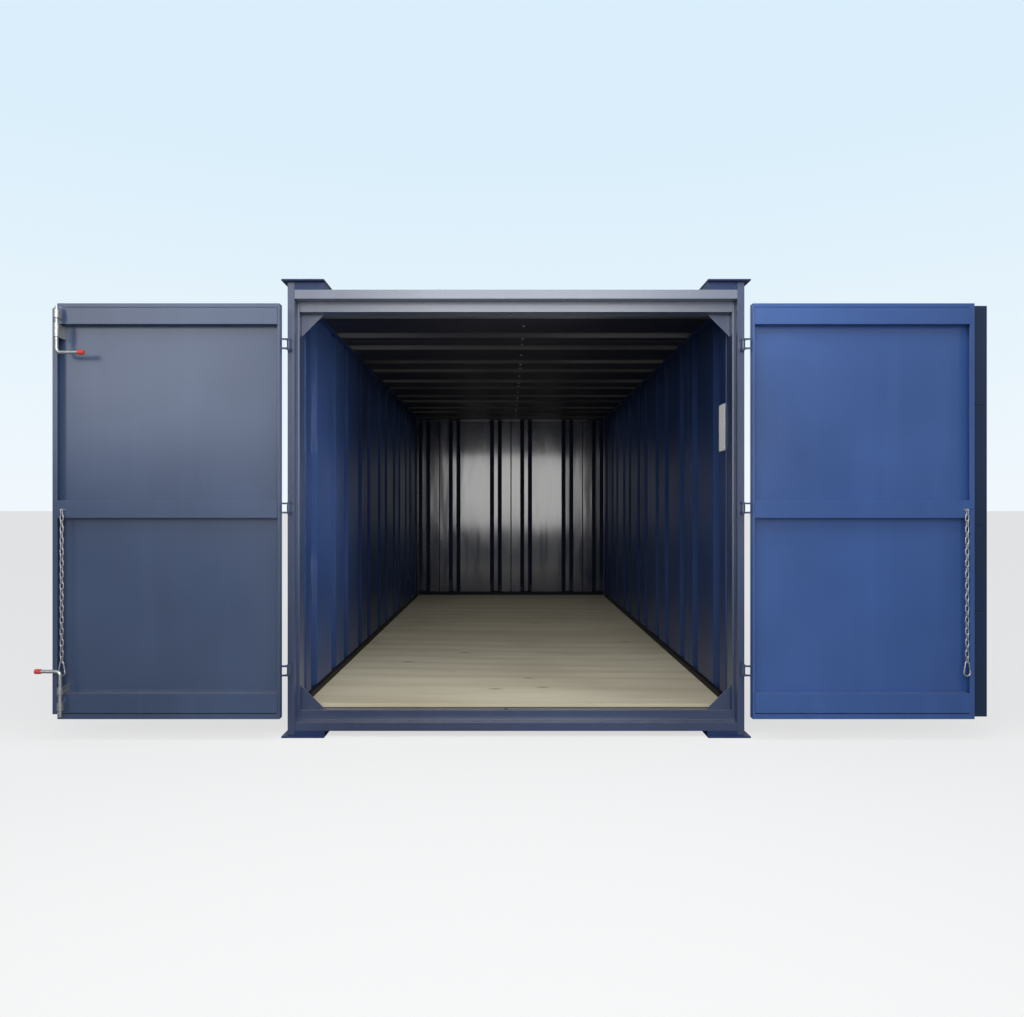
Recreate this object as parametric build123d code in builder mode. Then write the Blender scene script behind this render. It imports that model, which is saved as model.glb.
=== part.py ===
# Bolted steel storage container, about 4.94 m long and 2.1 m square, with two doors.
#
# Millimetres. X runs across the doorway, +Y from the doorway to the back wall, +Z up.
# Pieces are drawn with Y measured from the front face of the front posts, and each is
# moved by MIDDLE as it is saved, which puts the origin on the ground under the middle.
# Both doors are drawn folded out in line with the front, half a turn from closed.

import os

from build123d import *

os.makedirs("parts", exist_ok=True)

# Overall frame
WIDTH = 2100.0
HEIGHT = 2100.0
LENGTH = 4936.0
MIDDLE = 2414.0
HALF = WIDTH / 2
FRAME_TOP = 2056.0
FRAME_BOTTOM = 27.0
RAIL_WALL = 3.0

# Posts and the members over and under the doorway
POST_DEPTH = 146.0
LIP_DEPTH = 52.0
LIP_INNER = 1018.0
STOP_INNER = 1008.0
POST_WALL = 3.0
HEADER_LIP_BOTTOM = 2014.0
HEADER_STOP_BOTTOM = 1966.0
HEADER_DEPTH = 136.0
SILL_LIP_TOP = 66.0
SILL_STOP_TOP = 110.0
SILL_DEPTH = 93.0
GUSSET_LEG = 108.0
GUSSET_THICK = 4.0
TOP_GUSSET_Y = 95.0
BOTTOM_GUSSET_Y = 86.0

# Stacking feet
PLATE_X = (878.0, 1074.0)
PLATE_Y = (-20.0, 180.0)
PLATE_THICK = 8.0
RISER_INNER = 880.0
RISER_WALL = 4.0

# Ribbed sheets
SHEET = 2.0
PANEL = 774.0
PANELS = 6
RIB_SPACING = 447.0
RIB_BASE = 125.0
RIB_CREST = 41.0
RIB_DEPTH = 33.5
SEAM_FLANGE = 18.0
SEAM_GAP = 0.3
SIDE_SHEET = 1003.0
BACK_SHEET = LENGTH - LIP_DEPTH
ROOF_SHEET = 2013.0
LEDGE = 26.0
CURB_TOP = 150.0
OUTER_WEB_TOP = 112.0
OUTER_WEB_BOTTOM = 1974.0

# Floor
BOARD_TOP = 126.0
BOARD_THICK = 18.0
BOARD_FRONT = 113.0
BOARD_GAP = 2.0
BOARDS = 4
BEARERS = 10
BEARER_WIDTH = 50.0
BEARER_WALL = 3.0

# Doors, drawn open: the inner face looks forward
PIN_X = 1038.0
PIN_Y = -20.0
DOOR_EDGE = 1063.0
DOOR_WIDTHS = {"left": 1021.0, "right": 997.0}
DOOR_BOTTOM = 103.0
DOOR_TOP = 1972.0
DOOR_SKIN = -42.0
TRAY_DEPTH = 39.0
DOOR_DEPTH = 42.0
DOOR_SHEET = 2.0
HINGE_LIP = 10.0
FREE_LIP = 22.0
TOP_LIP = 17.0
BOTTOM_LIP = 24.0
NOTCH = 22.0
RAILS = ((131.0, 219.0), (1007.0, 1086.0), (1878.0, 1953.0))
RAIL_SHEET = 2.5
COVER_REACH = 2142.0
COVER_LAP = 34.0
COVER_THICK = 3.0
COVER_STEP = 5.0
SLIT_HEIGHTS = (580.0, 970.0, 1520.0)
SLIT = (50.0, 4.0)

# Hinges
HINGE_HEIGHTS = (311.0, 1052.0, 1800.0)
HINGE_HEIGHT = 50.0
LUG = 8.0
LUG_RADIUS = 9.0
LUG_BORE = 5.5
PIN_RADIUS = 5.0
PIN_HEAD = (7.0, 3.0)
HINGE_GAP = 0.6

# Shoot bolts on the left door
BOLT_RADIUS = 8.0
BOLT_Y = -115.0
UPPER_BOLT_X = -2046.0
UPPER_BOLT = (1745.0, 1950.0)
LOWER_BOLT_X = -2030.0
LOWER_BOLT = (122.0, 324.0)
BEND_RADIUS = 18.0
UPPER_HANDLE = 94.0
LOWER_HANDLE = 84.0
GRIP_LENGTH = 28.0
GRIP_RADIUS = 11.0
GUIDE_RADIUS = 13.0
GUIDE_BORE = 9.0
GUIDE_WEB = 6.0
BOLT_HOLE = 10.0

# Chains on both doors
CHAIN_X = {"left": 2034.0, "right": 2018.0}
CHAIN_Y = -95.0
EYE_HEIGHT = 1043.0
EYE_WIRE = 2.5
EYE_REACH = 9.0
LINKS = 27
LINK_WIRE = 5.0
LINK_LENGTH = 36.0
LINK_WIDTH = 18.0
LINK_CORNER = 4.2
LINK_PITCH = 25.4
LINK_GAP = 0.3
HOOK_LENGTH = 70.0
HOOK_WIRE = 6.5
HOOK_TOP = 11.0
HOOK_GAP = 1.1
HOOK_BOTTOM = 17.5

SIDES = (("left", -1), ("right", 1))


def box(x_range, y_range, z_range, mode=Mode.ADD):
    """One upright box between the given limits."""
    with Locations(((x_range[0] + x_range[1]) / 2, (y_range[0] + y_range[1]) / 2, z_range[0])):
        Box(
            abs(x_range[1] - x_range[0]),
            abs(y_range[1] - y_range[0]),
            z_range[1] - z_range[0],
            align=(Align.CENTER, Align.CENTER, Align.MIN),
            mode=mode,
        )


def prism(plane, points, amount, mode=Mode.ADD):
    """Extrudes one closed outline from a plane."""
    with BuildSketch(plane) as outline:
        with BuildLine():
            Polyline(*points, close=True)
        make_face()
    extrude(outline.sketch, amount=amount, mode=mode)


def post_upright(x, y, z_range, radius, mode=Mode.ADD):
    """One upright round bar or bore between two heights."""
    with Locations((x, y, z_range[0])):
        Cylinder(
            radius,
            z_range[1] - z_range[0],
            align=(Align.CENTER, Align.CENTER, Align.MIN),
            mode=mode,
        )


def save(piece, name):
    """Labels a finished piece and writes it."""
    piece.part.locate(Location((0, -MIDDLE, 0)))
    piece.part.label = name
    export_step(piece.part, f"parts/{name}.step")


def ribbed_panels(plane, spans, amount):
    """One folded sheet for each span, with its ribs and a flange turned out at each seam."""
    for start, stop, ribs in spans:
        points = [(stop - SEAM_GAP, SEAM_FLANGE), (stop - SEAM_GAP, 0)]
        for centre in reversed(ribs):
            points.append((centre + RIB_BASE / 2, 0))
            points.append((centre + RIB_CREST / 2, RIB_DEPTH))
            points.append((centre - RIB_CREST / 2, RIB_DEPTH))
            points.append((centre - RIB_BASE / 2, 0))
        points += [(start + SEAM_GAP, 0), (start + SEAM_GAP, SEAM_FLANGE)]
        with BuildSketch(plane) as outline:
            with BuildLine():
                Polyline(*points)
                offset(amount=SHEET, side=Side.RIGHT, kind=Kind.INTERSECTION)
            make_face()
        extrude(outline.sketch, amount=amount)


def whole_panel(start):
    """The limits and rib centres of one whole panel."""
    middle = start + PANEL / 2
    return start, start + PANEL, (middle - RIB_SPACING / 2, middle + RIB_SPACING / 2)


def when_shut(x, y):
    """Where a point on the left door lies when that door is shut."""
    return -2 * PIN_X - x, 2 * PIN_Y - y


side_panels = [whole_panel(POST_DEPTH + number * PANEL) for number in range(PANELS)]
panel_end = POST_DEPTH + PANELS * PANEL

# Posts: hollow, with a rebate for the doors in front, and turned about behind
for place, face, inward in (("front", 0, 1), ("rear", LENGTH, -1)):
    for hand, side in SIDES:
        outline = [
            (HALF, 0),
            (LIP_INNER, 0),
            (LIP_INNER, LIP_DEPTH),
            (STOP_INNER, LIP_DEPTH),
            (STOP_INNER, POST_DEPTH),
            (HALF, POST_DEPTH),
        ]
        hollow = [
            (HALF - POST_WALL, POST_WALL),
            (LIP_INNER + POST_WALL, POST_WALL),
            (LIP_INNER + POST_WALL, LIP_DEPTH + POST_WALL),
            (STOP_INNER + POST_WALL, LIP_DEPTH + POST_WALL),
            (STOP_INNER + POST_WALL, POST_DEPTH - POST_WALL),
            (HALF - POST_WALL, POST_DEPTH - POST_WALL),
        ]
        plane = Plane((0, face, PLATE_THICK))
        height = HEIGHT - 2 * PLATE_THICK
        with BuildPart() as post:
            prism(plane, [(side * x, inward * y) for x, y in outline], height)
            prism(plane, [(side * x, inward * y) for x, y in hollow], height, Mode.SUBTRACT)
        save(post, f"{place}_post_{hand}")

# Header over the doors, with a hole for the upper bolt and a ledge for the roof
with BuildPart() as header:
    box((-LIP_INNER, LIP_INNER), (0, LIP_DEPTH), (HEADER_LIP_BOTTOM, FRAME_TOP))
    box((-STOP_INNER, STOP_INNER), (LIP_DEPTH, HEADER_DEPTH), (HEADER_STOP_BOTTOM, FRAME_TOP))
    hollow = [
        (RAIL_WALL, HEADER_LIP_BOTTOM + RAIL_WALL),
        (LIP_DEPTH + RAIL_WALL, HEADER_LIP_BOTTOM + RAIL_WALL),
        (LIP_DEPTH + RAIL_WALL, HEADER_STOP_BOTTOM + RAIL_WALL),
        (HEADER_DEPTH - RAIL_WALL, HEADER_STOP_BOTTOM + RAIL_WALL),
        (HEADER_DEPTH - RAIL_WALL, FRAME_TOP - RAIL_WALL),
        (RAIL_WALL, FRAME_TOP - RAIL_WALL),
    ]
    prism(Plane.YZ.offset(-LIP_INNER), hollow, 2 * LIP_INNER, Mode.SUBTRACT)
    ledge_z = (ROOF_SHEET - RAIL_WALL, ROOF_SHEET)
    box((-STOP_INNER, STOP_INNER), (HEADER_DEPTH, POST_DEPTH), ledge_z)
    ledge_x = (LEDGE - SIDE_SHEET, SIDE_SHEET - LEDGE)
    box(ledge_x, (POST_DEPTH, POST_DEPTH + LEDGE), ledge_z)
    bolt_z = (HEADER_STOP_BOTTOM, HEADER_STOP_BOTTOM + RAIL_WALL)
    post_upright(*when_shut(UPPER_BOLT_X, BOLT_Y), bolt_z, BOLT_HOLE, Mode.SUBTRACT)
save(header, "front_header")

# Sill under the doors, with a hole for the lower bolt
with BuildPart() as sill:
    box((-LIP_INNER, LIP_INNER), (0, LIP_DEPTH), (FRAME_BOTTOM, SILL_LIP_TOP))
    box((-STOP_INNER, STOP_INNER), (LIP_DEPTH, SILL_DEPTH), (FRAME_BOTTOM, SILL_STOP_TOP))
    hollow = [
        (RAIL_WALL, FRAME_BOTTOM + RAIL_WALL),
        (SILL_DEPTH - RAIL_WALL, FRAME_BOTTOM + RAIL_WALL),
        (SILL_DEPTH - RAIL_WALL, SILL_STOP_TOP - RAIL_WALL),
        (LIP_DEPTH + RAIL_WALL, SILL_STOP_TOP - RAIL_WALL),
        (LIP_DEPTH + RAIL_WALL, SILL_LIP_TOP - RAIL_WALL),
        (RAIL_WALL, SILL_LIP_TOP - RAIL_WALL),
    ]
    prism(Plane.YZ.offset(-LIP_INNER), hollow, 2 * LIP_INNER, Mode.SUBTRACT)
    bolt_z = (SILL_STOP_TOP - RAIL_WALL, SILL_STOP_TOP)
    post_upright(*when_shut(LOWER_BOLT_X, BOLT_Y), bolt_z, BOLT_HOLE, Mode.SUBTRACT)
save(sill, "front_sill")

# Side rails: a folded channel under each wall and a capping channel over it
for hand, side in SIDES:
    along = (POST_DEPTH, panel_end)
    inner_x = (side * (SIDE_SHEET - RAIL_WALL), side * SIDE_SHEET)
    outer_x = (side * (HALF - RAIL_WALL), side * HALF)
    whole_x = (side * (SIDE_SHEET - RAIL_WALL), side * HALF)
    with BuildPart() as rail:
        box(inner_x, along, (FRAME_BOTTOM, CURB_TOP))
        box(whole_x, along, (FRAME_BOTTOM, FRAME_BOTTOM + RAIL_WALL))
        box(outer_x, along, (FRAME_BOTTOM, OUTER_WEB_TOP))
    save(rail, f"bottom_rail_{hand}")
    with BuildPart() as rail:
        ledge_x = (side * (SIDE_SHEET - LEDGE), side * SIDE_SHEET)
        box(inner_x, along, (ROOF_SHEET - RAIL_WALL, FRAME_TOP))
        box(ledge_x, along, (ROOF_SHEET - RAIL_WALL, ROOF_SHEET))
        box(whole_x, along, (FRAME_TOP - RAIL_WALL, FRAME_TOP))
        box(outer_x, along, (OUTER_WEB_BOTTOM, FRAME_TOP))
    save(rail, f"top_rail_{hand}")

# Rear sill and rear header close the frame between the rear posts
clear_x = (-STOP_INNER, STOP_INNER)
lip_x = (-LIP_INNER, LIP_INNER)
inside_web = (BACK_SHEET - RAIL_WALL, BACK_SHEET)
outside_web = (LENGTH - RAIL_WALL, LENGTH)
with BuildPart() as rear_sill:
    low_z = (FRAME_BOTTOM, FRAME_BOTTOM + RAIL_WALL)
    box(clear_x, inside_web, (FRAME_BOTTOM, CURB_TOP))
    box(clear_x, (panel_end, BACK_SHEET), low_z)
    box(lip_x, (BACK_SHEET, LENGTH), low_z)
    box(lip_x, outside_web, (FRAME_BOTTOM, OUTER_WEB_TOP))
save(rear_sill, "rear_sill")

with BuildPart() as rear_header:
    box(clear_x, (panel_end, BACK_SHEET), (ROOF_SHEET - RAIL_WALL, FRAME_TOP))
    hollow_y = (panel_end + RAIL_WALL, BACK_SHEET - RAIL_WALL)
    box(clear_x, hollow_y, (ROOF_SHEET, FRAME_TOP - RAIL_WALL), Mode.SUBTRACT)
    ledge_x = (LEDGE - SIDE_SHEET, SIDE_SHEET - LEDGE)
    box(ledge_x, (panel_end - LEDGE, panel_end), (ROOF_SHEET - RAIL_WALL, ROOF_SHEET))
    box(lip_x, (BACK_SHEET, LENGTH), (FRAME_TOP - RAIL_WALL, FRAME_TOP))
    box(lip_x, outside_web, (OUTER_WEB_BOTTOM, FRAME_TOP))
save(rear_header, "rear_header")

# Gussets in the corners of the doorway
with BuildPart() as gussets:
    for height, upright, depth in (
        (HEADER_STOP_BOTTOM, -1, TOP_GUSSET_Y),
        (SILL_STOP_TOP, 1, BOTTOM_GUSSET_Y),
    ):
        for _, side in SIDES:
            corner = [
                (side * STOP_INNER, height),
                (side * (STOP_INNER - GUSSET_LEG), height),
                (side * STOP_INNER, height + upright * GUSSET_LEG),
            ]
            prism(Plane((0, depth, 0), x_dir=(1, 0, 0), z_dir=(0, -1, 0)), corner, GUSSET_THICK)
save(gussets, "front_gussets")

# Stacking feet: a plate on a short hollow riser at each corner, top and bottom
for name, plate_z, riser_z, riser_depth in (
    ("top_corner_plates", HEIGHT - PLATE_THICK, (FRAME_TOP, HEIGHT - PLATE_THICK), HEADER_DEPTH),
    ("bottom_corner_plates", 0.0, (PLATE_THICK, FRAME_BOTTOM), SILL_DEPTH),
):
    with BuildPart() as plates:
        for face, inward in ((0, 1), (LENGTH, -1)):
            for _, side in SIDES:
                plate_x = [side * x for x in PLATE_X]
                plate_y = [face + inward * y for y in PLATE_Y]
                box(plate_x, plate_y, (plate_z, plate_z + PLATE_THICK))
                outline = [
                    (RISER_INNER, 0),
                    (LIP_INNER, 0),
                    (LIP_INNER, LIP_DEPTH),
                    (STOP_INNER, LIP_DEPTH),
                    (STOP_INNER, riser_depth),
                    (RISER_INNER, riser_depth),
                ]
                points = [(side * x, inward * y) for x, y in outline]
                prism(Plane((0, face, riser_z[0])), points, riser_z[1] - riser_z[0])
                hollow_x = (side * (RISER_INNER + RISER_WALL), side * (STOP_INNER - RISER_WALL))
                hollow_y = (face + inward * RISER_WALL, face + inward * (riser_depth - RISER_WALL))
                box(hollow_x, hollow_y, riser_z, Mode.SUBTRACT)
    save(plates, name)

# Walls and roof: ribbed panels side by side, ribs outward
wall_z = (FRAME_BOTTOM + RAIL_WALL, FRAME_TOP - RAIL_WALL)
wall_height = wall_z[1] - wall_z[0]
for hand, side in SIDES:
    plane = Plane((side * SIDE_SHEET, 0, wall_z[0]), x_dir=(0, 1, 0), z_dir=(0, 0, -side))
    with BuildPart() as wall:
        ribbed_panels(plane, side_panels, -side * wall_height)
    save(wall, f"{hand}_wall")

roof_half = SIDE_SHEET - RAIL_WALL
with BuildPart() as roof:
    plane = Plane((-roof_half, 0, ROOF_SHEET), x_dir=(0, 1, 0), z_dir=(1, 0, 0))
    ribbed_panels(plane, side_panels, 2 * roof_half)
save(roof, "roof")

end_rib = PANEL + (PANEL - RIB_SPACING) / 2
back_panels = [
    (-LIP_INNER, -PANEL, (-end_rib,)),
    whole_panel(-PANEL),
    whole_panel(0),
    (PANEL, LIP_INNER, (end_rib,)),
]
with BuildPart() as back_wall:
    ribbed_panels(Plane((0, BACK_SHEET, wall_z[0])), back_panels, wall_height)
save(back_wall, "back_wall")

# Floor boards on cross bearers
board_half = SIDE_SHEET - RAIL_WALL - 0.5
board_end = BACK_SHEET - RAIL_WALL - 0.5
board_pitch = (board_end - BOARD_FRONT + BOARD_GAP) / BOARDS
board_bottom = BOARD_TOP - BOARD_THICK
with BuildPart() as floor:
    for number in range(BOARDS):
        start = BOARD_FRONT + number * board_pitch
        long_way = (start, start + board_pitch - BOARD_GAP)
        box((-board_half, board_half), long_way, (board_bottom, BOARD_TOP))
save(floor, "floor_boards")

bearer_half = SIDE_SHEET - RAIL_WALL
bearer_start = POST_DEPTH + BEARER_WIDTH
bearer_pitch = (panel_end - POST_DEPTH - 2 * BEARER_WIDTH) / (BEARERS - 1)
bearer_bottom = FRAME_BOTTOM + RAIL_WALL
with BuildPart() as bearers:
    for number in range(BEARERS):
        middle = bearer_start + number * bearer_pitch
        reach = (middle - BEARER_WIDTH / 2, middle + BEARER_WIDTH / 2)
        box((-bearer_half, bearer_half), reach, (bearer_bottom, board_bottom))
        open_y = (reach[0] + BEARER_WALL, reach[1])
        open_z = (bearer_bottom + BEARER_WALL, board_bottom - BEARER_WALL)
        box((-bearer_half, bearer_half), open_y, open_z, Mode.SUBTRACT)
save(bearers, "floor_bearers")

# Hinge knuckles on the posts, each with its headed pin
knuckle = HINGE_HEIGHT / 2 - LUG - HINGE_GAP
pin_end = HINGE_HEIGHT / 2 + HINGE_GAP
for hand, side in SIDES:
    with BuildPart() as knuckles:
        for height in HINGE_HEIGHTS:
            block_x = (side * (PIN_X - LUG_RADIUS), side * (PIN_X + LUG_RADIUS))
            box(block_x, (PIN_Y, 0), (height - knuckle, height + knuckle))
            post_upright(side * PIN_X, PIN_Y, (height - knuckle, height + knuckle), LUG_RADIUS)
            post_upright(side * PIN_X, PIN_Y, (height - pin_end, height + pin_end), PIN_RADIUS)
            for end in (height + pin_end, height - pin_end - PIN_HEAD[1]):
                post_upright(side * PIN_X, PIN_Y, (end, end + PIN_HEAD[1]), PIN_HEAD[0])
    save(knuckles, f"hinge_lugs_{hand}")

# Doors: a folded tray, three channel rails and six hinge lugs each
lug_outline = [
    (-4, -8),
    (6, -17.8),
    (24.6, -17.8),
    (24.6, -22),
    (66, -22),
    (60, -13),
    (17, -13),
    (8.5, -2.5),
]
skin_inside = DOOR_SKIN - DOOR_SHEET
tray_face = DOOR_SKIN - TRAY_DEPTH
rail_face = DOOR_SKIN - DOOR_DEPTH
for hand, side in SIDES:
    free_edge = DOOR_EDGE + DOOR_WIDTHS[hand]
    with BuildPart() as tray:
        leaf_x = (side * DOOR_EDGE, side * free_edge)
        box(leaf_x, (tray_face, DOOR_SKIN), (DOOR_BOTTOM, DOOR_TOP))
        inside_x = (side * (DOOR_EDGE + DOOR_SHEET), side * (free_edge - DOOR_SHEET))
        inside_z = (DOOR_BOTTOM + DOOR_SHEET, DOOR_TOP - DOOR_SHEET)
        box(inside_x, (tray_face + DOOR_SHEET, skin_inside), inside_z, Mode.SUBTRACT)
        open_x = (side * (DOOR_EDGE + HINGE_LIP), side * (free_edge - FREE_LIP))
        open_z = (DOOR_BOTTOM + BOTTOM_LIP, DOOR_TOP - TOP_LIP)
        box(open_x, (tray_face, skin_inside), open_z, Mode.SUBTRACT)
        if hand == "left":
            notch_x = (side * (free_edge - NOTCH), side * free_edge)
            for notch_z in ((DOOR_TOP - NOTCH, DOOR_TOP), (DOOR_BOTTOM, DOOR_BOTTOM + NOTCH)):
                box(notch_x, (tray_face, DOOR_SKIN), notch_z, Mode.SUBTRACT)
    save(tray, f"{hand}_door_tray")

    with BuildPart() as rails:
        rail_x = (side * (DOOR_EDGE + HINGE_LIP + 0.2), side * (free_edge - FREE_LIP - 0.2))
        for low, high in RAILS:
            box(rail_x, (rail_face, skin_inside), (low, high))
            open_z = (low + RAIL_SHEET, high - RAIL_SHEET)
            box(rail_x, (rail_face + RAIL_SHEET, skin_inside), open_z, Mode.SUBTRACT)
    save(rails, f"{hand}_door_rails")

    with BuildPart() as lugs:
        points = [(side * x, y) for x, y in lug_outline]
        for height in HINGE_HEIGHTS:
            for low in (height - HINGE_HEIGHT / 2, height + HINGE_HEIGHT / 2 - LUG):
                prism(Plane((side * PIN_X, PIN_Y, low)), points, LUG)
                post_upright(side * PIN_X, PIN_Y, (low, low + LUG), LUG_RADIUS)
                post_upright(side * PIN_X, PIN_Y, (low, low + LUG), LUG_BORE, Mode.SUBTRACT)
    save(lugs, f"{hand}_door_hinges")

# Cover strip on the right door, stepped to lap the left one when shut
free_edge = DOOR_EDGE + DOOR_WIDTHS["right"]
with BuildPart() as cover:
    raised = DOOR_SKIN + COVER_STEP
    outline = [
        (free_edge - COVER_LAP, DOOR_SKIN),
        (free_edge, DOOR_SKIN),
        (free_edge + COVER_STEP, raised),
        (COVER_REACH, raised),
        (COVER_REACH, raised + COVER_THICK),
        (free_edge + COVER_STEP - COVER_THICK / 2, raised + COVER_THICK),
        (free_edge - COVER_THICK / 2, DOOR_SKIN + COVER_THICK),
        (free_edge - COVER_LAP, DOOR_SKIN + COVER_THICK),
    ]
    prism(Plane.XY.offset(DOOR_BOTTOM), outline, DOOR_TOP - DOOR_BOTTOM)
    for height in SLIT_HEIGHTS:
        slit_x = (COVER_REACH - 12 - SLIT[0], COVER_REACH - 12)
        slit_z = (height - SLIT[1] / 2, height + SLIT[1] / 2)
        box(slit_x, (raised, raised + COVER_THICK), slit_z, Mode.SUBTRACT)
save(cover, "right_cover_strip")

# Guides for the shoot bolts: two bored sleeves on feet for each rod
with BuildPart() as guides:
    for x, near_rail, on_rail in (
        (UPPER_BOLT_X, (1814.0, 1874.0), (1898.0, 1934.0)),
        (LOWER_BOLT_X, (222.0, 254.0), (150.0, 186.0)),
    ):
        for z_range, foot in ((near_rail, skin_inside), (on_rail, rail_face)):
            post_upright(x, BOLT_Y, z_range, GUIDE_RADIUS)
            box((x - GUIDE_WEB / 2, x + GUIDE_WEB / 2), (BOLT_Y, foot), z_range)
            post_upright(x, BOLT_Y, z_range, GUIDE_BORE, Mode.SUBTRACT)
save(guides, "left_bolt_guides")

# Shoot bolts: a bent rod with a short grip on its handle
for name, x, tip, bend, along, handle in (
    ("upper", UPPER_BOLT_X, UPPER_BOLT[1], UPPER_BOLT[0], 1, UPPER_HANDLE),
    ("lower", LOWER_BOLT_X, LOWER_BOLT[0], LOWER_BOLT[1], -1, LOWER_HANDLE),
):
    grip_x = x + along * handle
    with BuildPart() as bolt:
        with BuildLine():
            route = ((x, BOLT_Y, tip), (x, BOLT_Y, bend), (grip_x, BOLT_Y, bend))
            FilletPolyline(*route, radius=BEND_RADIUS)
        with BuildSketch(Plane((x, BOLT_Y, tip), z_dir=(0, 0, -along))):
            Circle(BOLT_RADIUS)
        sweep()
    save(bolt, f"{name}_bolt")
    with BuildPart() as grip:
        with BuildSketch(Plane((grip_x, BOLT_Y, bend), z_dir=(along, 0, 0))):
            Circle(GRIP_RADIUS)
        extrude(amount=GRIP_LENGTH)
        fillet(grip.edges().filter_by(GeomType.CIRCLE), 3)
    save(grip, f"{name}_bolt_grip")

# Chains: an eye on the middle rail, links turned by quarters, and a snap hook
for hand, side in SIDES:
    x = side * CHAIN_X[hand]
    with BuildPart() as eye:
        with BuildLine():
            FilletPolyline(
                (x - EYE_REACH, rail_face, EYE_HEIGHT),
                (x - EYE_REACH, CHAIN_Y, EYE_HEIGHT),
                (x + EYE_REACH, CHAIN_Y, EYE_HEIGHT),
                (x + EYE_REACH, rail_face, EYE_HEIGHT),
                radius=4,
            )
        with BuildSketch(Plane((x - EYE_REACH, rail_face, EYE_HEIGHT), z_dir=(0, -1, 0))):
            Circle(EYE_WIRE)
        sweep()
    save(eye, f"{hand}_chain_eye")

    first = EYE_HEIGHT + EYE_WIRE + LINK_GAP + LINK_WIRE - LINK_LENGTH / 2
    with BuildPart() as chain:
        for number in range(LINKS):
            centre = (x, CHAIN_Y, first - number * LINK_PITCH)
            facing = (1, 0, 0) if number % 2 == 0 else (0, 1, 0)
            with BuildSketch(Plane(centre, x_dir=(0, 0, 1), z_dir=facing)) as link:
                Rectangle(LINK_LENGTH, LINK_WIDTH)
                chamfer(link.vertices(), LINK_CORNER)
                offset(amount=-LINK_WIRE, kind=Kind.INTERSECTION, mode=Mode.SUBTRACT)
            extrude(amount=LINK_WIRE / 2, both=True)
    save(chain, f"{hand}_chain")

    last = first - (LINKS - 1) * LINK_PITCH
    hook_top = last - LINK_LENGTH / 2 + LINK_WIRE + HOOK_GAP + HOOK_WIRE
    with BuildPart() as hook:
        with BuildSketch(Plane((x, CHAIN_Y, hook_top), x_dir=(1, 0, 0), z_dir=(0, -1, 0))):
            with Locations((0, -HOOK_TOP)):
                Circle(HOOK_TOP)
            with Locations((0, HOOK_BOTTOM - HOOK_LENGTH)):
                Circle(HOOK_BOTTOM)
            make_hull()
            offset(amount=-HOOK_WIRE, mode=Mode.SUBTRACT)
        extrude(amount=HOOK_WIRE / 2, both=True)
    save(hook, f"{hand}_snap_hook")
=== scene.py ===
import bmesh
import bpy
import math
import random
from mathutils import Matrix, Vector


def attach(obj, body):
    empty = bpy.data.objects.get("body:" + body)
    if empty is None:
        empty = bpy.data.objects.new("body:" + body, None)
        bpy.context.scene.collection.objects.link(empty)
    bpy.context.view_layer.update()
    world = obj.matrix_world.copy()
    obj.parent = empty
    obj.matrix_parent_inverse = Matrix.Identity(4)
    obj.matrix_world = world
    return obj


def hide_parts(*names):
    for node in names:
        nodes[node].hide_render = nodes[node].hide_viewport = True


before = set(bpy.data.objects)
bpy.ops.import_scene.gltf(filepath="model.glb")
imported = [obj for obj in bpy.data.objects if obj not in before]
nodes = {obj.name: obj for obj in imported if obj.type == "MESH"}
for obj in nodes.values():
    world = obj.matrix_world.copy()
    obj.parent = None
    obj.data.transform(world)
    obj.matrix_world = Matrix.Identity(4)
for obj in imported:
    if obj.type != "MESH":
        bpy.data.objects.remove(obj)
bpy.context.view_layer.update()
rng = random.Random(7)
scene = bpy.context.scene

# Depths in this script are measured from the front face of the posts, which lies this far before the origin
MIDDLE = 2.414


def at(x, depth, z):
    """The point of the shared frame at one depth."""
    return Vector((x, depth - MIDDLE, z))


# Camera: level, with the photograph's focal length and centre in pixels
IMAGE_WIDTH = 1024
SENSOR_WIDTH = 36.0
FOCAL_PX = 787.7
CENTRE_SHIFT_PX = (4.7, 1.5)

cam_data = bpy.data.cameras.new("photo_camera")
cam_data.sensor_fit = "HORIZONTAL"
cam_data.sensor_width = SENSOR_WIDTH
cam_data.lens = FOCAL_PX / IMAGE_WIDTH * SENSOR_WIDTH
cam_data.shift_x = CENTRE_SHIFT_PX[0] / IMAGE_WIDTH
cam_data.shift_y = CENTRE_SHIFT_PX[1] / IMAGE_WIDTH
cam_data.clip_end = 1500
camera = bpy.data.objects.new("photo_camera", cam_data)
camera.location = at(-0.040, -3.620, 1.043)
camera.rotation_euler = (math.radians(90), 0, 0)
scene.collection.objects.link(camera)
scene.camera = camera


# Node helpers: each adds one node to a tree and returns its output socket
def noise(tree, vector, scale, detail=2.0, rough=0.5):
    n = tree.nodes.new("ShaderNodeTexNoise")
    n.inputs["Scale"].default_value = scale
    n.inputs["Detail"].default_value = detail
    n.inputs["Roughness"].default_value = rough
    tree.links.new(vector, n.inputs["Vector"])
    return n.outputs["Fac"]


def ramp(tree, value, low, high, start=0.0, end=1.0):
    n = tree.nodes.new("ShaderNodeMapRange")
    n.inputs["From Min"].default_value = low
    n.inputs["From Max"].default_value = high
    n.inputs["To Min"].default_value = start
    n.inputs["To Max"].default_value = end
    tree.links.new(value, n.inputs["Value"])
    return n.outputs[0]


def mix(tree, fac, a, b):
    """A mix of two colours; each of the three inputs is a socket or a plain value."""
    n = tree.nodes.new("ShaderNodeMix")
    n.data_type = "RGBA"
    for socket, value in ((n.inputs[0], fac), (n.inputs[6], a), (n.inputs[7], b)):
        if hasattr(value, "is_output"):
            tree.links.new(value, socket)
        elif isinstance(value, (int, float)):
            socket.default_value = value
        else:
            socket.default_value = (*value, 1.0)
    return n.outputs[2]


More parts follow.
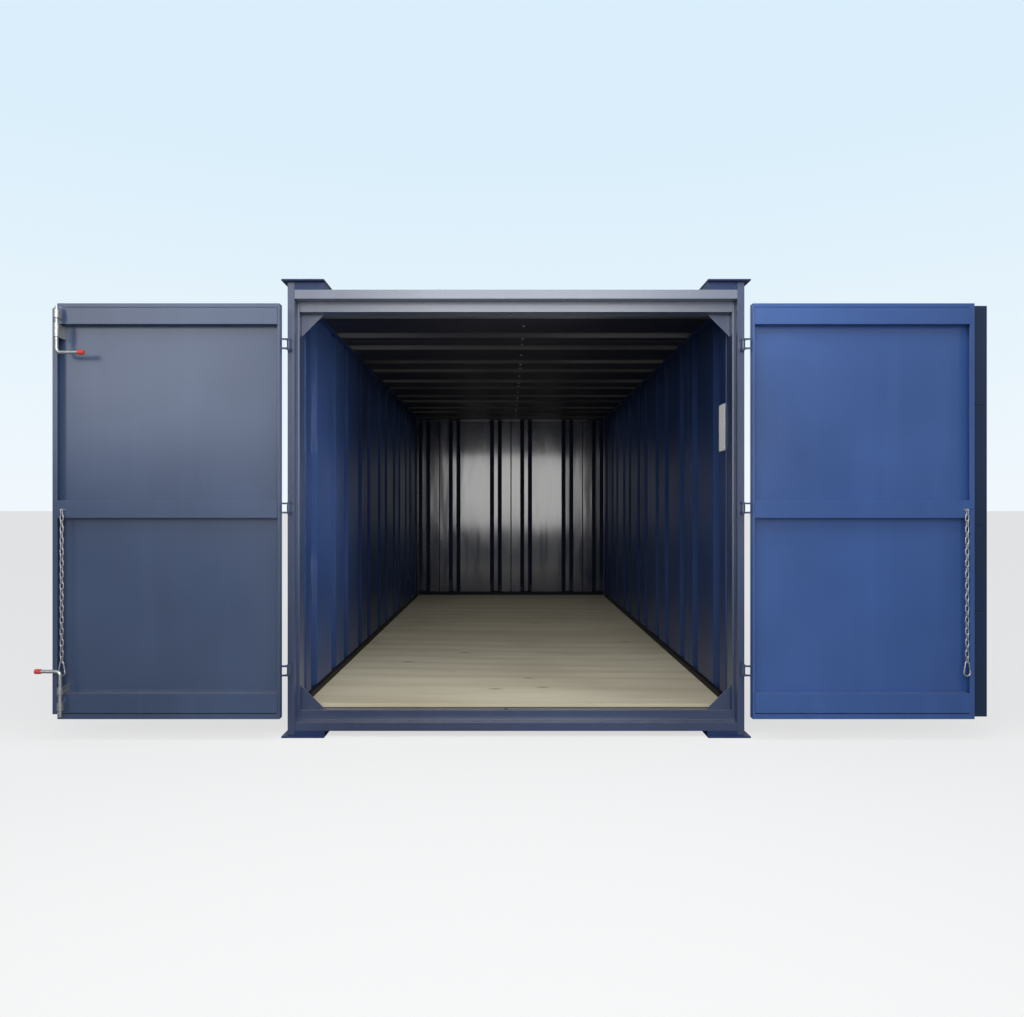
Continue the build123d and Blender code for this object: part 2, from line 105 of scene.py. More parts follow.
def product(tree, a, b):
    n = tree.nodes.new("ShaderNodeMath")
    n.operation = "MULTIPLY"
    tree.links.new(a, n.inputs[0])
    tree.links.new(b, n.inputs[1])
    return n.outputs[0]


def towards(tree, normal, direction):
    """1 where the surface faces along the direction, 0 where it is square to it."""
    n = tree.nodes.new("ShaderNodeVectorMath")
    n.operation = "DOT_PRODUCT"
    tree.links.new(normal, n.inputs[0])
    n.inputs[1].default_value = direction
    return n.outputs["Value"]


def bump(tree, height, distance, strength=1.0, normal=None):
    n = tree.nodes.new("ShaderNodeBump")
    n.inputs["Strength"].default_value = strength
    n.inputs["Distance"].default_value = distance
    tree.links.new(height, n.inputs["Height"])
    if normal is not None:
        tree.links.new(normal, n.inputs["Normal"])
    return n.outputs[0]


def coords(tree, scale=None):
    """The object's own coordinates, stretched where a scale is given."""
    c = tree.nodes.new("ShaderNodeTexCoord")
    if scale is None:
        return c.outputs["Object"]
    m = tree.nodes.new("ShaderNodeMapping")
    m.inputs["Scale"].default_value = scale
    tree.links.new(c.outputs["Object"], m.inputs["Vector"])
    return m.outputs[0]


def scaled(colour, factor, lift=0.0):
    return tuple(factor * c + lift for c in colour)


def camera_switch(tree, unseen, shown, output):
    """Gives the camera one shader, and the light that falls on the object another."""
    rays = tree.nodes.new("ShaderNodeLightPath")
    switch = tree.nodes.new("ShaderNodeMixShader")
    tree.links.new(rays.outputs["Is Camera Ray"], switch.inputs[0])
    tree.links.new(unseen, switch.inputs[1])
    tree.links.new(shown, switch.inputs[2])
    tree.links.new(switch.outputs[0], output)


# Materials
WALL_BLUE = (0.014, 0.032, 0.098)
DUST = (0.33, 0.31, 0.27)
ZINC_GREY = (0.52, 0.53, 0.53)
# Roof rib sides facing this way get a painted highlight: a grey for the light from the doorway
LIT_RIB_SIDE = (0.0, -0.62, -0.78)  # the way in which the roof ribs' sides look towards the doorway


def new_material(name):
    mat = bpy.data.materials.new(name)
    mat.use_nodes = True
    tree = mat.node_tree
    tree.nodes.clear()
    out = tree.nodes.new("ShaderNodeOutputMaterial")
    shader = tree.nodes.new("ShaderNodeBsdfPrincipled")
    tree.links.new(shader.outputs[0], out.inputs[0])
    return mat, tree, shader


def paint(name, base, rough=(0.26, 0.38), wave=0.0012, coat=0.6, coat_rough=0.20, spec=0.5, dust=0.25,
          stretch=(3.1, 3.1, 3.1), rib_highlight_grey=0.0, outward=None):
    """Factory paint on steel sheet: orange peel, slow waves in the sheet, dust on what faces up.

    stretch gives the waves their size along each axis. The grey for the roof ribs' sides is a painted
    highlight, painted on the sides that face the doorway, where the light from the doorway falls.
    Where outward is given, faces along it take the walls' own blue, and faces that look away keep the
    darker base: painted shade.
    """
    mat, tree, shader = new_material(name)
    where = coords(tree)
    slow = noise(tree, where, 0.9, 3.0)
    lighter = tuple(min(1.0, c) for c in scaled(base, 1.12, 0.006))
    colour = mix(tree, ramp(tree, slow, 0.35, 0.65), scaled(base, 0.82), lighter)
    runs = noise(tree, coords(tree, (9.0, 9.0, 0.5)), 1.0, 4.0, 0.6)
    colour = mix(tree, ramp(tree, runs, 0.52, 0.74, 0.0, 0.22), colour, scaled(base, 1.35, 0.012))

    geometry = tree.nodes.new("ShaderNodeNewGeometry")
    surface = geometry.outputs["Normal"]
    split = tree.nodes.new("ShaderNodeSeparateXYZ")
    tree.links.new(surface, split.inputs[0])
    up = ramp(tree, split.outputs["Z"], 0.55, 1.0, 0.0, dust)
    fine = noise(tree, where, 26.0, 4.0, 0.6)
    colour = mix(tree, product(tree, up, ramp(tree, fine, 0.3, 0.75)), colour, DUST)
    # Painted highlight: the roof ribs' sides that face the doorway are painted grey, in streaks, for the
    # light falling on them
    if rib_highlight_grey:
        doorway_side = ramp(tree, towards(tree, surface, LIT_RIB_SIDE), 0.90, 0.97)
        highlight_streaks = noise(tree, coords(tree, (0.8, 3.0, 3.0)), 1.0, 2.0)
        highlight_share = product(tree, doorway_side, ramp(tree, highlight_streaks, 0.35, 0.65, 0.25, 1.0))
        colour = mix(tree, highlight_share, colour, (rib_highlight_grey, rib_highlight_grey, rib_highlight_grey))
    # Painted shade: inner faces keep the darker base, and faces along outward take the walls' own blue
    if outward:
        colour = mix(tree, ramp(tree, towards(tree, surface, outward), 0.1, 0.4), colour, WALL_BLUE)
    tree.links.new(colour, shader.inputs["Base Color"])

    gloss = noise(tree, where, 2.2, 1.0)
    tree.links.new(ramp(tree, gloss, 0.05, 0.95, *rough), shader.inputs["Roughness"])
    waves = bump(tree, noise(tree, coords(tree, stretch), 1.0, 2.0, 0.4), wave)
    peel = bump(tree, noise(tree, where, 70.0, 1.0), 0.00006, 0.5, waves)
    tree.links.new(peel, shader.inputs["Normal"])
    shader.inputs["Coat Weight"].default_value = coat
    shader.inputs["Coat Roughness"].default_value = coat_rough
    shader.inputs["Specular IOR Level"].default_value = spec
    return mat


def zinc(name):
    mat, tree, shader = new_material(name)
    where = coords(tree)
    cell = tree.nodes.new("ShaderNodeTexVoronoi")
    cell.inputs["Scale"].default_value = 160.0
    tree.links.new(where, cell.inputs["Vector"])
    flakes = ramp(tree, cell.outputs["Distance"], 0.0, 0.9)
    grey = mix(tree, flakes, scaled(ZINC_GREY, 0.8), ZINC_GREY)
    tree.links.new(grey, shader.inputs["Base Color"])
    rough = ramp(tree, noise(tree, where, 90.0, 3.0), 0.3, 0.7, 0.26, 0.46)
    tree.links.new(rough, shader.inputs["Roughness"])
    tree.links.new(bump(tree, noise(tree, where, 260.0, 3.0), 0.0002), shader.inputs["Normal"])
    shader.inputs["Metallic"].default_value = 0.85
    return mat


def plastic(name, base, spec=0.5):
    mat, tree, shader = new_material(name)
    where = coords(tree)
    tone = mix(tree, noise(tree, where, 60.0, 2.0), scaled(base, 0.85), base)
    tree.links.new(tone, shader.inputs["Base Color"])
    rough = ramp(tree, noise(tree, where, 300.0, 2.0), 0.2, 0.8, 0.35, 0.5)
    tree.links.new(rough, shader.inputs["Roughness"])
    tree.links.new(bump(tree, noise(tree, where, 700.0, 2.0), 0.0001), shader.inputs["Normal"])
    shader.inputs["Specular IOR Level"].default_value = spec
    return mat


def plywood(name):
    """Unpainted plywood with its grain along X: streaks, rings, pale clouds, dirty patches and knots."""
    mat, tree, shader = new_material(name)
    wide = coords(tree, (1.5, 6.0, 6.0))
    streak = noise(tree, coords(tree, (1.7, 19.0, 19.0)), 1.0, 6.0, 0.65)
    cloud = noise(tree, wide, 0.9, 3.0, 0.5)
    patch = noise(tree, coords(tree), 1.3, 2.0)
    rings = tree.nodes.new("ShaderNodeTexWave")
    rings.wave_type = "BANDS"
    rings.bands_direction = "Y"
    rings.inputs["Scale"].default_value = 0.22
    rings.inputs["Distortion"].default_value = 16.0
    rings.inputs["Detail"].default_value = 3.0
    rings.inputs["Detail Scale"].default_value = 0.55
    tree.links.new(wide, rings.inputs["Vector"])
    knots = tree.nodes.new("ShaderNodeTexVoronoi")
    knots.inputs["Scale"].default_value = 4.2
    knots.inputs["Randomness"].default_value = 1.0
    tree.links.new(coords(tree, (0.5, 1.0, 1.0)), knots.inputs["Vector"])

    colour = mix(tree, ramp(tree, streak, 0.25, 0.75), (0.46, 0.415, 0.295), (0.58, 0.535, 0.41))
    for layer, tint in (
        (ramp(tree, rings.outputs["Fac"], 0.45, 1.0, 0.0, 0.42), (0.36, 0.305, 0.195)),
        (ramp(tree, cloud, 0.3, 0.7, 0.0, 0.35), (0.63, 0.585, 0.46)),
        (ramp(tree, patch, 0.50, 0.72, 0.0, 0.38), (0.34, 0.30, 0.215)),
        (ramp(tree, knots.outputs["Distance"], 0.04, 0.10, 0.75, 0.0), (0.26, 0.20, 0.115)),
    ):
        colour = mix(tree, layer, colour, tint)
    tree.links.new(colour, shader.inputs["Base Color"])
    tree.links.new(ramp(tree, streak, 0.2, 0.8, 0.5, 0.72), shader.inputs["Roughness"])
    tree.links.new(bump(tree, streak, 0.0006), shader.inputs["Normal"])
    shader.inputs["Specular IOR Level"].default_value = 0.3
    return mat


FRAME_FINISH = dict(rough=(0.28, 0.40), wave=0.0006, coat_rough=0.24, dust=0.2)
frame_paint = paint("frame_paint", (0.029, 0.047, 0.105), **FRAME_FINISH)
# The header has the frame's paint; its lighter base is painted light, for the bright reflection on its face
header_lit_paint = paint("header_lit_paint", (0.125, 0.145, 0.200), **FRAME_FINISH)
# The two doors carry one paint. Their bases differ as painted light: the left greyer for neutral light, the
# right bluer for blue sky light
left_paint = paint("left_door_paint", (0.041, 0.067, 0.136), wave=0.0026)
right_paint = paint("right_door_paint", (0.030, 0.082, 0.258), wave=0.0026, coat=0.5)
# The cover strip's base is a much darker copy of the right door's blue: painted shade
cover_shaded_paint = paint("cover_strip_shaded_paint", (0.006, 0.020, 0.062), coat=0.2)
wall_paint = paint("wall_paint", WALL_BLUE, rough=(0.30, 0.42), wave=0.0014, coat=0.0, spec=0.24, dust=0.0)
# The roof and the back wall are painted darker than the walls' blue inside, as painted shade for the dim
# interior; outside they take the walls' blue
roof_shade_and_highlight_paint = paint("roof_shade_and_highlight_paint", (0.018, 0.019, 0.030), rough=(0.42, 0.52), wave=0.0010, coat=0.0,
                   coat_rough=0.30, spec=0.14, dust=0.0, rib_highlight_grey=0.13, outward=(0.0, 0.0, 1.0))
back_shaded_paint = paint("back_wall_shaded_paint", (0.012, 0.016, 0.036), rough=(0.12, 0.19), wave=0.0180, coat=1.0,
                   coat_rough=0.09, dust=0.0, stretch=(4.2, 1.0, 0.8), outward=(0.0, 1.0, 0.0))
zinc_metal = zinc("zinc_plate")
red_plastic = plastic("red_grip", (0.62, 0.055, 0.030))
wood = plywood("floor_plywood")
plate_white = plastic("label_plate_white", (0.78, 0.79, 0.78))
# Near-black, for the painted shade along the floor's edges
floor_edge_shade = plastic("floor_edge_painted_shade", (0.006, 0.006, 0.007), 0.06)

# The first row with a matching start holds for a node, and the rest of the steel has the frame's paint
LOOKS = (
    (wood, ("floor_boards",)),
    (red_plastic, ("upper_bolt_grip", "lower_bolt_grip")),
    (zinc_metal, ("upper_bolt", "lower_bolt", "left_bolt_guides", "left_chain", "right_chain",
                  "left_snap_hook", "right_snap_hook")),
    (wall_paint, ("left_wall", "right_wall", "top_corner_plates", "bottom_corner_plates",
                  "top_rail", "bottom_rail", "rear_")),
    (back_shaded_paint, ("back_wall",)),
    (roof_shade_and_highlight_paint, ("roof",)),
    (header_lit_paint, ("front_header",)),
    (frame_paint, ("left_door_hinges", "right_door_hinges")),
    (left_paint, ("left_door",)),
    (right_paint, ("right_door",)),
    (cover_shaded_paint, ("right_cover_strip",)),
)
for name, obj in nodes.items():
    mat = next((look for look, starts in LOOKS if name.startswith(starts)), frame_paint)
    if obj.material_slots:
        for s in obj.material_slots:
            s.material = mat
    else:
        obj.data.materials.append(mat)

# Folded steel and cut plywood have no sharp edges: these nodes get a small rounding
EDGES = (
    (0.0009, ("left_door_tray", "right_door_tray")),
    (0.0011, ("left_door_rails", "right_door_rails", "right_cover")),
    (0.0012, ("front_gussets", "rear_header", "rear_sill", "top_rail", "bottom_rail")),
    (0.0013, ("front_post", "rear_post", "front_header", "front_sill")),
    (0.0015, ("top_corner", "bottom_corner", "floor_boards")),
)
for name, obj in nodes.items():
    width = next((w for w, starts in EDGES if name.startswith(starts)), None)
    if width is None:
        continue
    weld = obj.modifiers.new("weld", "WELD")
    weld.merge_threshold = 0.00001
    rounding = obj.modifiers.new("rounding", "BEVEL")
    rounding.width = width
    rounding.segments = 2
    rounding.limit_method = "ANGLE"
    rounding.angle_limit = math.radians(35)
    shade = obj.modifiers.new("shade", "WEIGHTED_NORMAL")
    shade.keep_sharp = False
    shade.weight = 100


# Mesh helpers
X, Y, Z = Vector((1, 0, 0)), Vector((0, 1, 0)), Vector((0, 0, 1))


def mesh_piece(name, verts, faces, material, body, smooth=None, turned=False):
    """A new piece from points and faces, which are turned outward here unless they already are."""
    mesh = bpy.data.meshes.new(name)
    mesh.from_pydata([tuple(v) for v in verts], [], faces)
    if not turned:
        work = bmesh.new()
        work.from_mesh(mesh)
        bmesh.ops.recalc_face_normals(work, faces=work.faces)
        work.to_mesh(mesh)
        work.free()
    if smooth is not None:
        for polygon, flag in zip(mesh.polygons, smooth):
            polygon.use_smooth = flag
    mesh.materials.append(material)
    obj = bpy.data.objects.new(name, mesh)
    scene.collection.objects.link(obj)
    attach(obj, body)
    return obj


def gathered(parts):
    """Several sets of points and faces as one."""
    verts, faces = [], []
    for v, f in parts:
        shift = len(verts)
        verts += v
        faces += [tuple(i + shift for i in face) for face in f]
    return verts, faces


def circle(centre, first, second, radius, sides, turn=0.0):
    """The corners of a regular polygon in the plane of two directions."""
    angles = [turn + 2 * math.pi * s / sides for s in range(sides)]
    return [centre + first * (radius * math.cos(a)) + second * (radius * math.sin(a)) for a in angles]


def lofted(rings, bottom=False):
    """Points and faces that run through rings of equally many points, closed at the last one."""
    count = len(rings[0])
    top = count * (len(rings) - 1)
    faces = []
    for low in range(0, top, count):
        for k in range(count):
            n = (k + 1) % count
            faces.append((low + k, low + n, low + count + n, low + count + k))
    faces.append(tuple(range(top, top + count)))
    if bottom:
        faces.append(tuple(reversed(range(count))))
    return [point for ring in rings for point in ring], faces


def rounded(points, radius, steps=5, margin=0.0015):
    """The same line with each of its corners turned into an arc, and a point just outside each arc."""
    points = [Vector(p) for p in points]
    line = [points[0]]
    for before, corner, after in zip(points, points[1:], points[2:]):
        back = (before - corner).normalized()
        ahead = (after - corner).normalized()
        half = back.angle(ahead) / 2
        reach = radius / math.tan(half)
        centre = corner + (back + ahead).normalized() * (radius / math.sin(half))
        start = corner + back * reach - centre
        turn = math.pi - 2 * half
        side = 1 if back.x * ahead.y - back.y * ahead.x < 0 else -1
        line.append(corner + back * (reach + margin))
        for k in range(steps + 1):
            a = side * turn * k / steps
            line.append(centre + Vector((start.x * math.cos(a) - start.y * math.sin(a),
                                         start.x * math.sin(a) + start.y * math.cos(a))))
        line.append(corner + ahead * (reach + margin))
    line.append(points[-1])
    return line


def tube(path, radius, across, sides=10, closed=True):
    """Points and faces of a round wire along a flat path whose plane has the given normal."""
    verts, faces = [], []
    count = len(path)
    for k, p in enumerate(path):
        if closed:
            along = (path[(k + 1) % count] - path[k - 1]).normalized()
        else:
            along = (path[min(k + 1, count - 1)] - path[max(k - 1, 0)]).normalized()
        verts += circle(p, along.cross(across).normalized(), across, radius, sides)
    for k in range(count if closed else count - 1):
        n = (k + 1) % count
        for s in range(sides):
            t = (s + 1) % sides
            faces.append((k * sides + s, k * sides + t, n * sides + t, n * sides + s))
    if not closed:
        faces.append(tuple(reversed(range(sides))))
        faces.append(tuple((count - 1) * sides + s for s in range(sides)))
    return verts, faces


# Ribbed walls, roof and back wall. The faces are the inner sides of the flats between the ribs
SIDE_FACE, ROOF_FACE, BACK_FACE = 1.003, 2.013, 4.884
SHEET_BOTTOM, SHEET_TOP = 0.030, 2.053
SHEET, BEND = 0.002, 0.005
PANEL, PANELS, FIRST_SEAM = 0.774, 6, 0.146
RIB_AT, RIB_FOOT, RIB_TOP, RIB_DEEP = 0.2235, 0.06285, 0.02085, 0.0335
FLAT_AT, FLANGE_AT, FLANGE_END = SHEET / 2, 0.00103, 0.018


def panel_line(start, stop, ribs):
    """The middle line of one folded panel: a flange, flats and ribs, and the other flange."""
    line = [(start + FLANGE_AT, FLANGE_END), (start + FLANGE_AT, FLAT_AT)]
    for centre in ribs:
        line += [(centre - RIB_FOOT, FLAT_AT), (centre - RIB_TOP, RIB_DEEP + FLAT_AT),
                 (centre + RIB_TOP, RIB_DEEP + FLAT_AT), (centre + RIB_FOOT, FLAT_AT)]
    line += [(stop - FLANGE_AT, FLAT_AT), (stop - FLANGE_AT, FLANGE_END)]
    return line


def folded_sheets(name, lines, place, low, high, material, node):
    """Sheets of even thickness along the given lines, drawn out between two ends, in place of a node."""
    verts, faces, smooth = [], [], []

    def add_face(corners, outward, is_smooth):
        normal = (verts[corners[1]] - verts[corners[0]]).cross(verts[corners[2]] - verts[corners[0]])
        faces.append(corners if normal.dot(outward) > 0 else tuple(reversed(corners)))
        smooth.append(is_smooth)

    up = (place(0, 0, high) - place(0, 0, low)).normalized()
    for points in lines:
        line = rounded(points, BEND)
        last = len(line) - 1
        sides = []
        for k, p in enumerate(line):
            along = (line[min(k + 1, last)] - line[max(k - 1, 0)]).normalized()
            off = Vector((-along.y, along.x)) * (SHEET / 2)
            sides.append((p + off, p - off))
        for this, other in ((0, 1), (1, 0)):
            base = len(verts)
            for pair in sides:
                verts.extend((place(*pair[this], low), place(*pair[this], high)))
            for k in range(last):
                outward = place(*sides[k][this], low) - place(*sides[k][other], low)
                near = base + 2 * k
                add_face((near, near + 1, near + 3, near + 2), outward, True)
        for end, outward in ((low, -up), (high, up)):
            base = len(verts)
            for pair in sides:
                verts.extend((place(*pair[0], end), place(*pair[1], end)))
            for k in range(last):
                near = base + 2 * k
                add_face((near, near + 1, near + 3, near + 2), outward, False)
        for k, beside in ((0, 1), (last, last - 1)):
            base = len(verts)
            verts.extend((place(*sides[k][0], low), place(*sides[k][1], low),
                          place(*sides[k][1], high), place(*sides[k][0], high)))
            outward = place(*line[k], low) - place(*line[beside], low)
            add_face((base, base + 1, base + 2, base + 3), outward, False)
    obj = mesh_piece(name, verts, faces, material, "container", smooth, True)
    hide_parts(node)


side_lines = []
for number in range(PANELS):
    start = FIRST_SEAM + number * PANEL
    middle = start + PANEL / 2
    side_lines.append(panel_line(start, start + PANEL, (middle - RIB_AT, middle + RIB_AT)))
BACK_HALF = 1.018
end_rib = PANEL + PANEL / 2 - RIB_AT
back_lines = [
    panel_line(-BACK_HALF, -PANEL, (-end_rib,)),
    panel_line(-PANEL, 0.0, (-PANEL / 2 - RIB_AT, -PANEL / 2 + RIB_AT)),
    panel_line(0.0, PANEL, (PANEL / 2 - RIB_AT, PANEL / 2 + RIB_AT)),
    panel_line(PANEL, BACK_HALF, (end_rib,)),
]
folded_sheets("left_wall_sheets", side_lines, lambda u, w, e: at(-SIDE_FACE - w, u, e),
              SHEET_BOTTOM, SHEET_TOP, wall_paint, "left_wall")
folded_sheets("right_wall_sheets", side_lines, lambda u, w, e: at(SIDE_FACE + w, u, e),
              SHEET_BOTTOM, SHEET_TOP, wall_paint, "right_wall")
folded_sheets("roof_sheets", side_lines, lambda u, w, e: at(e, u, ROOF_FACE + w),
              -1.0, 1.0, roof_shade_and_highlight_paint, "roof")
folded_sheets("back_wall_sheets", back_lines, lambda u, w, e: at(u, BACK_FACE + w, e),
              SHEET_BOTTOM, SHEET_TOP, back_shaded_paint, "back_wall")

# Chains and snap hooks. Wires are given by their radius, and links by the middle line of the wire
LINKS, PITCH, LINK_WIRE = 27, 0.0254, 0.0025
LINK_STRAIGHT, LINK_BEND = 0.009, 0.0065
LINK_HALF = LINK_STRAIGHT + LINK_BEND + LINK_WIRE
EYE_Z, EYE_WIRE, EYE_GAP = 1.043, 0.0025, 0.0003
FIRST_LINK = EYE_Z + EYE_WIRE + EYE_GAP + 2 * LINK_WIRE - LINK_HALF
HOOK_WIRE, HOOK_SMALL, HOOK_LARGE, HOOK_LENGTH, HOOK_GAP = 0.00325, 0.011, 0.0175, 0.070, 0.0011
HOOK_TOP = FIRST_LINK - (LINKS - 1) * PITCH - LINK_HALF + 2 * LINK_WIRE + HOOK_GAP + 2 * HOOK_WIRE
GATE_WIRE, COLLAR_WIRE = 0.0026, 0.0036
CHAIN_DEPTH = -0.095


def link_path(centre, across):
    """The middle line of one upright oval link, its lower end first."""
    path = []
    for end in (1, -1):
        for k in range(9):
            a = math.pi * k / 8
            drop = -Z * (end * (LINK_STRAIGHT + LINK_BEND * math.sin(a)))
            path.append(centre + drop + across * (end * LINK_BEND * math.cos(a)))
    return path


def hook_path(x):
    """The pear-shaped middle line of a snap hook, from its right side round to the left."""
    lean = math.asin((HOOK_LARGE - HOOK_SMALL) / (HOOK_LENGTH - HOOK_SMALL - HOOK_LARGE))
    path = []
    for radius, z, first, turn, steps in (
        (HOOK_SMALL - HOOK_WIRE, HOOK_TOP - HOOK_SMALL, lean, math.pi - 2 * lean, 12),
        (HOOK_LARGE - HOOK_WIRE, HOOK_TOP - HOOK_LENGTH + HOOK_LARGE, math.pi - lean, math.pi + 2 * lean, 16),
    ):
        for k in range(steps + 1):
            a = first + turn * k / steps
            path.append(at(x + radius * math.cos(a), CHAIN_DEPTH, z + radius * math.sin(a)))
    return path


for hand, x in (("left", -2.034), ("right", 2.018)):
    links = []
    for number in range(LINKS):
        turn = math.radians(rng.uniform(-5, 5)) + (math.pi / 2 if number % 2 == 0 else 0)
        across = Vector((math.cos(turn), math.sin(turn), 0))
        normal = Vector((-math.sin(turn), math.cos(turn), 0))
        centre = at(x, CHAIN_DEPTH, FIRST_LINK - number * PITCH)
        links.append(tube(link_path(centre, across), LINK_WIRE, normal))
    verts, faces = gathered(links)
    chain = mesh_piece(hand + "_chain_links", verts, faces, zinc_metal, hand + "_door",
                       [True] * len(faces))
    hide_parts(hand + "_chain")

    path = hook_path(x)
    wires = [(path, HOOK_WIRE)]
    for steps, radius in (
        ([k / 6 for k in range(7)], GATE_WIRE),
        ([0.0, 0.16], COLLAR_WIRE),
        ([0.88, 1.0], COLLAR_WIRE),
    ):
        wires.append(([path[-1].lerp(path[0], t) for t in steps], radius))
    verts, faces = gathered([tube(line, radius, -Y, 12, False) for line, radius in wires])
    hook = mesh_piece(hand + "_snap_hook_wire", verts, faces, zinc_metal, hand + "_door",
                      [len(f) == 4 for f in faces])
    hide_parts(hand + "_snap_hook")

# Bolt heads. Each size is the radius of the hexagon, the head's height and the radius of the washer
RAIL_BOLT = (0.0085, 0.0065, 0.0105)
CROWN_BOLT = (0.0065, 0.0045, 0.0085)
SEAM_BOLT = (0.0055, 0.005, 0.007)
LIP_BOLT = (0.006, 0.005, 0.008)
RAIL_Z, RAIL_END = 0.131, 0.055
ROOF_X, CROWN_X, CROWN_END = 0.990, 0.047, 0.070
SEAM_X, SEAM_SIDE, SEAM_LEVELS = 1.0145, 0.0023, [0.22 + level * 0.335 for level in range(6)]


def hex_head(centre, out, bolt=RAIL_BOLT):
    """A bolt head with a chamfered top on a washer, standing out along one direction."""
    size, height, washer = bolt
    out = Vector(out)
    first = out.orthogonal().normalized()
    second = out.cross(first)
    turn = rng.uniform(0, math.pi / 3)
    parts = []
    for sides, start, rings in (
        (20, 0.0, ((washer, 0.0), (washer, 0.0014), (washer * 0.97, 0.0017))),
        (6, turn, ((size, 0.0015), (size, height * 0.82), (size * 0.88, height))),
    ):
        parts.append(lofted([circle(centre + out * lift, first, second, radius, sides, start)
                             for radius, lift in rings]))
    return gathered(parts)


left_heads, right_heads, roof_heads, crown_heads, back_heads = [], [], [], [], []
for number in range(PANELS):
    start = FIRST_SEAM + number * PANEL
    for depth in (start + RAIL_END, start + PANEL / 2, start + PANEL - RAIL_END):
        left_heads.append(hex_head(at(-SIDE_FACE - SHEET, depth, RAIL_Z), -X))
        right_heads.append(hex_head(at(SIDE_FACE + SHEET, depth, RAIL_Z), X))
        for side in (-ROOF_X, ROOF_X):
            roof_heads.append(hex_head(at(side, depth, ROOF_FACE + SHEET), Z))
    for depth in (start + CROWN_END, start + PANEL / 2, start + PANEL - CROWN_END):
        crown_heads.append(hex_head(at(CROWN_X, depth, ROOF_FACE), -Z, CROWN_BOLT))
    if number:
        for z in SEAM_LEVELS:
            for heads, side in ((left_heads, -1), (right_heads, 1)):
                for way in (-1, 1):
                    spot = at(side * SEAM_X, start + way * SEAM_SIDE, z)
                    heads.append(hex_head(spot, way * Y, SEAM_BOLT))
for seam in (-PANEL, 0.0, PANEL):
    for side in (-RAIL_END, RAIL_END):
        back_heads.append(hex_head(at(seam + side, BACK_FACE + SHEET, RAIL_Z), Y))
for name, heads in (
    ("wall_bolts_left", left_heads),
    ("wall_bolts_right", right_heads),
    ("roof_bolts", roof_heads),
    ("roof_inside_bolts", crown_heads),
    ("back_wall_bolts", back_heads),
):
    verts, faces = gathered(heads)
    mesh_piece(name, verts, faces, zinc_metal, "container")
verts, faces = hex_head(at(2.049, -0.081, 1.050), -Y, LIP_BOLT)
mesh_piece("right_lip_bolt", verts, faces, right_paint, "right_door")

# The bare plate on the right wall: rounded corners and a rivet at each one
PLATE_CENTRE = at(SIDE_FACE, 0.204, 1.4425)
PLATE_LENGTH, PLATE_HEIGHT, PLATE_THICK, PLATE_CORNER = 0.108, 0.225, 0.001, 0.006
RIVET_INSET = 0.008
RIVET_RINGS = ((0.0028, 0.0), (0.0024, 0.0007), (0.0012, 0.0011))

outline = []
for cu, cv, first in ((1, 1, 0), (-1, 1, 90), (-1, -1, 180), (1, -1, 270)):
    for k in range(6):
        a = math.radians(first + 18 * k)
        outline.append((cu * (PLATE_LENGTH / 2 - PLATE_CORNER) + PLATE_CORNER * math.cos(a),
                        cv * (PLATE_HEIGHT / 2 - PLATE_CORNER) + PLATE_CORNER * math.sin(a)))
verts, faces = lofted([
    [PLATE_CENTRE + Vector((-lift, u * shrink, v * shrink)) for u, v in outline]
    for lift, shrink in ((0.0, 1.0), (PLATE_THICK * 0.7, 1.0), (PLATE_THICK, 0.994))
], bottom=True)
mesh_piece("bare_plate", verts, faces, plate_white, "container")
rivets = []
for cu in (-1, 1):
    for cv in (-1, 1):
        spot = PLATE_CENTRE + Vector((-PLATE_THICK, cu * (PLATE_LENGTH / 2 - RIVET_INSET),
                                      cv * (PLATE_HEIGHT / 2 - RIVET_INSET)))
        rivets.append(lofted([circle(spot - X * lift, Y, Z, radius, 10) for radius, lift in RIVET_RINGS]))
verts, faces = gathered(rivets)
mesh_piece("bare_plate_rivets", verts, faces, zinc_metal, "container",
           [True] * len(faces))

# A thin strip behind each slit of the cover strip closes it to light
SLIT_HEIGHTS = (0.580, 0.970, 1.520)
BACKING_X, BACKING_HALF, BACKING_INSET = (2.074, 2.136), 0.008, 0.001
BACKING_FRONT, BACKING_BACK = -0.034, -0.0328

strips = []
for level in SLIT_HEIGHTS:
    rings = []
    for depth, inset in ((BACKING_FRONT, 0.0), (BACKING_BACK, BACKING_INSET)):
        near, far = BACKING_X[0] + inset, BACKING_X[1] - inset
        low, high = level - BACKING_HALF + inset, level + BACKING_HALF - inset
        rings.append([at(u, depth, v) for u, v in ((near, low), (far, low), (far, high), (near, high))])
    strips.append(lofted(rings, bottom=True))
verts, faces = gathered(strips)
mesh_piece("slit_backing", verts, faces, cover_shaded_paint, "right_door")

# A near-black bead runs along the floor's edges: painted shade for the dark line where the walls meet the
# floor. Its profile is given as offset from the edge and height
BEAD = ((-0.0003, 0.1263), (-0.0075, 0.1263), (-0.0060, 0.1500), (-0.0015, 0.1600),
        (0.0022, 0.1625), (0.0022, 0.1510), (-0.0003, 0.1510))
FLOOR_HALF, FLOOR_BACK = 1.0, 4.881
SIDE_BEAD_ENDS, BACK_BEAD_ENDS = (0.148, 4.788), (-0.992, 0.992)

beads = []
for place, ends in (
    (lambda o, z, e: at(-FLOOR_HALF - o, e, z), SIDE_BEAD_ENDS),
    (lambda o, z, e: at(FLOOR_HALF + o, e, z), SIDE_BEAD_ENDS),
    (lambda o, z, e: at(e, FLOOR_BACK + o, z), BACK_BEAD_ENDS),
):
    beads.append(lofted([[place(o, z, end) for o, z in BEAD] for end in ends], bottom=True))
verts, faces = gathered(beads)
mesh_piece("floor_edge_shade_bead", verts, faces, floor_edge_shade, "container")

# Studio floor: pale to the camera, and darker to the rays that light the object
FLOOR_REACH = 700

